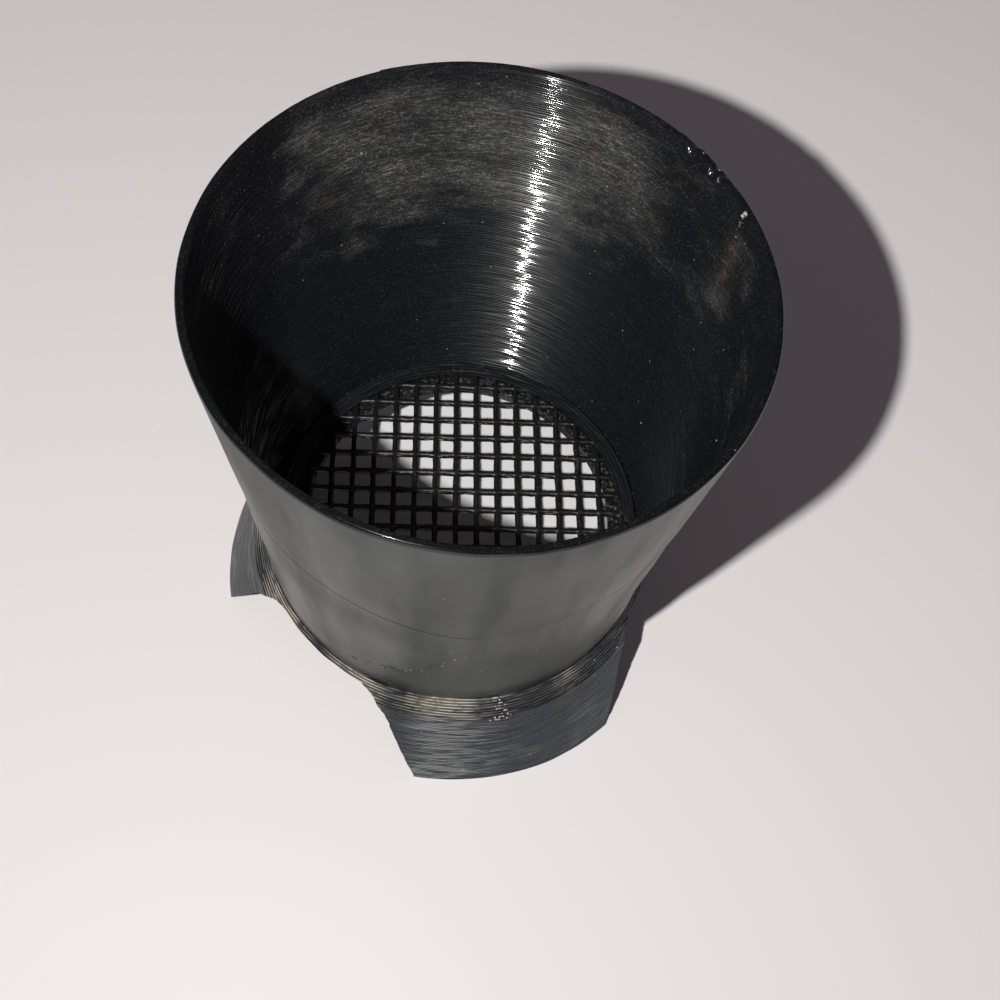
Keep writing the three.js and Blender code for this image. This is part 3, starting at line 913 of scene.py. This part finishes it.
def cup_finish():
    """Satin black print under a thin clear coat: a haze of dried dust in short dashes along the layers,
    most of it high up and at the back, where it also paints in the key lamp's broad sheen, crumbs of soil on
    the ledge, a seam that turns brown and then white as the soil attribute rises, its white a painted glint,
    white specks that are painted glints and a fine relief along the layers."""
    made = Finish("cup print")
    cloud = made.noise(230, 420, 5.0)
    high_up = made.ramp(made.height, 23 * MM, 37 * MM)
    rim = made.ramp(made.height, RIM_Z - 0.25 * MM, RIM_Z - 0.1 * MM)
    clean = 0.8 * made.ramp(made.height, RIM_Z - 2.4 * MM, RIM_Z - 0.8 * MM)
    # Dust and painted sheen: the haze is heaviest high up and at the back, where the key lamp's broad
    # highlight falls on the wall
    spread = 0.6 * cloud + 0.3 * high_up + 0.2 * made.ramp(made.along("Y"), 9 * MM, 18 * MM)
    haze_and_sheen = made.ramp(spread, 0.56, 0.92) * (1 - clean)
    dash = made.ramp(made.noise(1800, 9000, 3.0), 0.44, 0.66)
    streak = made.ramp(made.noise(420, 5200, 3.0), 0.38, 0.66)
    lines = haze_and_sheen * (0.2 + 0.8 * dash) * (0.3 + 0.7 * streak)
    brown = made.ramp(made.noise(210, 480), 0.56, 0.68)
    ledge = 1 - made.ramp(made.height, LEDGE_Z + 0.05 * MM, LEDGE_Z + 0.3 * MM)
    soiled = ledge * made.ramp(made.noise(3400, 3400, 4.0), 0.5, 0.7)
    seam = made.attribute("soil")
    # Fine pale grains that are painted glints, thickest in the haze
    salt = made.ramp(made.noise(6500, 6500, 1.0), 0.56, 0.72)
    colour = made.mix(0.12 * haze_and_sheen + 0.85 * lines, BLACK, made.mix(0.5 * brown, DUST_AND_SHEEN, SOIL))
    colour = made.mix(0.35 * soiled, colour, CRUMB)
    colour = made.mix((0.04 + 0.2 * haze_and_sheen) * salt, colour, SPECK_AND_GLINT)
    # White specks: painted glints of the layers
    colour = made.mix(made.specks(560, 0.06, 0.22), colour, SPECK_AND_GLINT)
    colour = made.mix(0.6 * made.specks(950, 0.07, 0.3), colour, SPECK_AND_GLINT)
    colour = made.mix(0.8 * seam * (0.25 + 0.75 * dash), colour, CRUMB)
    # The seam's whitest lumps: painted glints
    colour = made.mix(made.ramp(seam, 1.2, 1.8), colour, SPECK_AND_GLINT)
    wander = made.noise(520, 5200, 1.0)
    relief = made.bump(wander, 0.016 * MM)
    coat = 0.75 + 0.25 * high_up - 0.8 * rim
    rough = 0.3 - 0.07 * high_up
    return made.surface(colour, rough, relief, 0.08, coat_weight=coat, coat_roughness=0.062)


def base_finish():
    """Satin black print: golden brown residue below the seat and pale salt on the crests of the layers
    there, which also paints in the crests' highlight, as much as the soil attribute says, pale lines
    brushed along the layers of the skirt that are scuffs and also painted glints, white specks that are
    partly painted glints and a fine grain. A groove is where the height is near a whole number of layers.
    Soil far above one marks the scar, which is as pale as salt."""
    made = Finish("base print")
    cloud = made.noise(170, 260, 4.0)
    from_groove = made.node("ShaderNodeMath", {"operation": "PINGPONG"}, {0: made.height, 1: LAYER / 2})
    groove = 1 - made.ramp(from_groove, 0.28 * LAYER, 0.4 * LAYER)
    on_top = made.ramp(made.height, SEAT_Z - 0.08 * MM, SEAT_Z - 0.04 * MM)
    near_seat = made.ramp(made.height, SEAT_Z - 1.9 * MM, SEAT_Z - 0.7 * MM) - on_top
    lot = made.attribute("soil")
    much = made.ramp(lot, 0, 1)
    brown = near_seat * much * made.ramp(made.noise(420, 2600), 0.36, 0.56)
    # Pale salt on the crests, which is also a painted highlight where the crests catch the key lamp
    crest_salt_and_glint = near_seat * much * made.ramp(made.noise(800, 2600), 0.4, 0.56) * (1 - groove)
    most = much * much
    # Pale dashes along the layers: scuffs, and painted glints of the layer lines, more of them where the
    # soil is
    brushed = made.ramp(made.noise(380, 10000, 2.0) + 0.08 * most, 0.46, 0.66) * (1 - 0.7 * groove)
    scuffs_and_glints = brushed * made.ramp(cloud + 0.26 * most, 0.36, 0.82)
    worn = made.ramp(made.noise(420, 8000), 0.5, 0.7)
    colour = made.mix(0.055 * worn, BASE_BLACK, DUST_AND_SHEEN)
    colour = made.mix(0.8 * scuffs_and_glints, colour, SCUFF_AND_GLINT)
    colour = made.mix(0.28 * brown, colour, RESIDUE)
    colour = made.mix(0.9 * crest_salt_and_glint, colour, SALT_AND_GLINT)
    # White specks, partly painted glints
    colour = made.mix(0.8 * made.specks(700, 0.06, 0.2), colour, SPECK_AND_GLINT)
    colour = made.mix(0.9 * made.specks(900, 0.11, 0.16), colour, SPECK_AND_GLINT)
    colour = made.mix(0.9 * made.ramp(lot, 1.2, 1.8), colour, SALT_AND_GLINT)
    grain = made.noise(2600, 5200, 2.0)
    rough = 0.2 + 0.14 * worn
    return made.surface(colour, rough, made.bump(grain, 0.024 * MM), 0.7, specular_tint=BLUISH)


def lattice_finish():
    """Satin black print with crumbs of soil in places, and pale threads where the soil attribute is
    full."""
    made = Finish("lattice print")
    cloud = made.noise(320, 320, 4.0)
    fine = made.noise(2600, 2600)
    root = made.attribute("soil")
    soiled = made.ramp(0.4 * cloud + 0.6 * fine, 0.56, 0.66)
    colour = made.mix(0.25 * soiled, BLACK, SOIL)
    colour = made.mix(0.7 * made.specks(620, 0.06, 0.16), colour, SPECK_AND_GLINT)
    colour = made.mix(root, colour, ROOT)
    return made.surface(colour, 0.3 + 0.2 * fine, made.bump(fine, 0.03 * MM))


def tape_finish():
    """Smooth black vinyl with soft upright smudges, blotches of grey film that also paint in the tape's
    sheen, a very fine orange peel and a little dust, which is white where the soil attribute is full, the
    white on the bubbles being painted glints."""
    made = Finish("black vinyl tape")
    smudge = made.noise(240, 36, 3.0)
    film = made.ramp(smudge, 0.42, 0.66)
    blotch_and_sheen = made.ramp(made.noise(210, 80, 4.0), 0.3, 0.76)
    peel = made.noise(1100, 1100, 2.0)
    grains = made.attribute("soil")
    low_down = 1 - made.ramp(made.height, 10.5 * MM, 16 * MM)
    edge = made.ramp(made.height, RIM_Z - 0.6 * MM, RIM_Z - 0.4 * MM)
    # Grey film in upright smudges and blotches: dust film, and also a painted sheen
    colour = made.mix(0.1 * film + 0.3 * blotch_and_sheen, VINYL, FILM_AND_SHEEN)
    colour = made.mix(0.7 * made.specks(480, 0.04, 0.14), colour, SPECK_AND_GLINT)
    # White grains: dust, and on the bubbles painted glints
    colour = made.mix(grains, colour, SPECK_AND_GLINT)
    rough = 0.33 + 0.14 * film - 0.04 * low_down - 0.12 * edge
    return made.surface(colour, rough, made.bump(peel, 0.0008 * MM), 0.25, specular_tint=GREENISH)


def put(name, skin, corner, finish, node, body):
    """A skin as an object that replaces a CAD node: smooth, but sharp along its grooves and wherever two
    faces meet at more than the corner angle in degrees."""
    mesh = bpy.data.meshes.new(name)
    mesh.from_pydata(skin.points.tolist(), [], skin.faces.tolist())
    mesh.shade_smooth()
    mesh.set_sharp_from_angle(angle=math.radians(corner))
    ends = np.empty(2 * len(mesh.edges), np.int32)
    mesh.edges.foreach_get("vertices", ends)
    first, second = skin.groove[ends[0::2]], skin.groove[ends[1::2]]
    sharp = np.empty(len(mesh.edges), bool)
    mesh.edges.foreach_get("use_edge_sharp", sharp)
    mesh.edges.foreach_set("use_edge_sharp", sharp | ((first > 0) & (first == second)))
    mesh.attributes.new("soil", "FLOAT", "POINT").data.foreach_set("value", skin.soil)
    mesh.materials.append(finish)
    piece = bpy.data.objects.new(name, mesh)
    bpy.context.scene.collection.objects.link(piece)
    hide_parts(node)
    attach(piece, body)


def studio():
    """Pale table, soft overhead light, the key lamp at the upper left of the camera, and the camera."""
    made = Finish("pale table")
    table = bpy.data.meshes.new("table")
    corners = [(x * TABLE_REACH, y * TABLE_REACH, 0) for x, y in ((-1, -1), (1, -1), (1, 1), (-1, 1))]
    table.from_pydata(corners, [], [(0, 1, 2, 3)])
    grain = made.bump(made.noise(400, 400), 0.01 * MM)
    table.materials.append(made.surface(TABLE_COLOUR, 0.6, grain))
    floor = bpy.data.objects.new("table", table)
    bpy.context.scene.collection.objects.link(floor)

    sky = bpy.data.lights.new("overhead", "AREA")
    sky.shape = "DISK"
    sky.size = SKY_WIDTH
    sky.energy = SKY_POWER
    sky_lamp = bpy.data.objects.new("overhead", sky)
    sky_lamp.location = SKY_PLACE
    bpy.context.scene.collection.objects.link(sky_lamp)

    key = bpy.data.lights.new("key", "POINT")
    key.energy = KEY_POWER
    key.color = KEY_COLOUR
    key.shadow_soft_size = KEY_SOFTNESS
    key.use_nodes = True
    nodes = key.node_tree.nodes
    falloff = nodes.new("ShaderNodeLightFalloff")
    falloff.inputs["Strength"].default_value = 1.0
    key.node_tree.links.new(falloff.outputs["Constant"], nodes["Emission"].inputs["Strength"])
    key_lamp = bpy.data.objects.new("key", key)
    key_lamp.location = KEY_PLACE
    key_lamp.visible_camera = False
    bpy.context.scene.collection.objects.link(key_lamp)

    world = bpy.data.worlds.new("room")
    world.use_nodes = True
    background = world.node_tree.nodes["Background"]
    background.inputs["Color"].default_value = WORLD_COLOUR
    background.inputs["Strength"].default_value = WORLD_LEVEL
    bpy.context.scene.world = world

    lens = bpy.data.cameras.new("camera")
    lens.lens = CAMERA_LENS
    lens.sensor_width = CAMERA_SENSOR
    lens.clip_start = 0.005
    lens.clip_end = 50
    camera = bpy.data.objects.new("camera", lens)
    turn = Matrix.Rotation(-CAMERA_AZIMUTH, 4, "Z") @ Matrix.Rotation(math.pi / 2 - CAMERA_DOWN, 4, "X")
    turn = turn @ Matrix.Rotation(CAMERA_ROLL, 4, "Z")
    camera.matrix_world = Matrix.Translation(CAMERA_PLACE) @ turn
    bpy.context.scene.collection.objects.link(camera)
    bpy.context.scene.camera = camera
    bpy.context.scene.view_settings.view_transform = "Standard"


studio()
vinyl = tape_finish()
put("printed_base", base_skin(), PRINT_CORNER, base_finish(), "footed_base", "base")
put("printed_cup", cup_skin(), PRINT_CORNER, cup_finish(), "cup", "cup")
put("lattice_floor", floor_skin(), LATTICE_CORNER, lattice_finish(), "mesh_floor", "floor")
put("upper_band", upper_tape_skin(), TAPE_CORNER, vinyl, "upper_tape", "cup")
put("lower_band", lower_tape_skin(), TAPE_CORNER, vinyl, "lower_tape", "cup")
